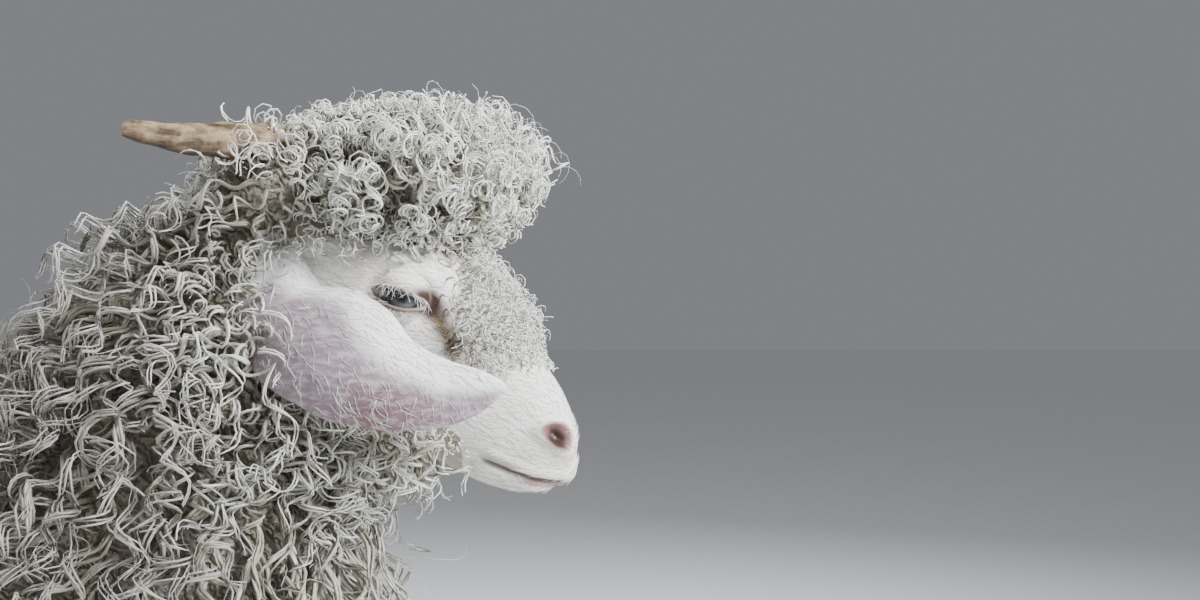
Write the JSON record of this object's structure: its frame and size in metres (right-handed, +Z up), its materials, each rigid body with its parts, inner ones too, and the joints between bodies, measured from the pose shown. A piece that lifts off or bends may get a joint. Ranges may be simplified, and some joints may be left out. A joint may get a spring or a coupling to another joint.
{
  "type": "angora goat",
  "caption": "Life-size still model of a standing angora goat with a curly mohair fleece, drooping ears and back-swept horns.",
  "frame": {"origin": "on the ground, under the centre of the whole animal's outline", "axes": "+X the way the goat faces, +Y its left side, +Z up"},
  "size_m": [0.9848, 0.3636, 0.8414],
  "materials": {
    "fleece": "cream-white curly mohair",
    "skin": "pink skin under short white hair",
    "horn": "ridged grey-brown keratin",
    "eye": "wet glassy cornea",
    "hoof": "dull grey-brown hoof horn"
  },
  "bodies": {
    "root": {"head": "fleece", "neck": "fleece", "torso": "fleece", "tail": "fleece", "foreleg_left": "fleece", "foreleg_right": "fleece", "hindleg_left": "fleece", "hindleg_right": "fleece", "ear_left": "skin", "ear_right": "skin", "horn_left": "horn", "horn_right": "horn", "eye_left": "eye", "eye_right": "eye", "hoof_fore_left_outer": "hoof", "hoof_fore_left_inner": "hoof", "hoof_fore_right_outer": "hoof", "hoof_fore_right_inner": "hoof", "hoof_hind_left_outer": "hoof", "hoof_hind_left_inner": "hoof", "hoof_hind_right_outer": "hoof", "hoof_hind_right_inner": "hoof"}
  },
  "joints": []
}
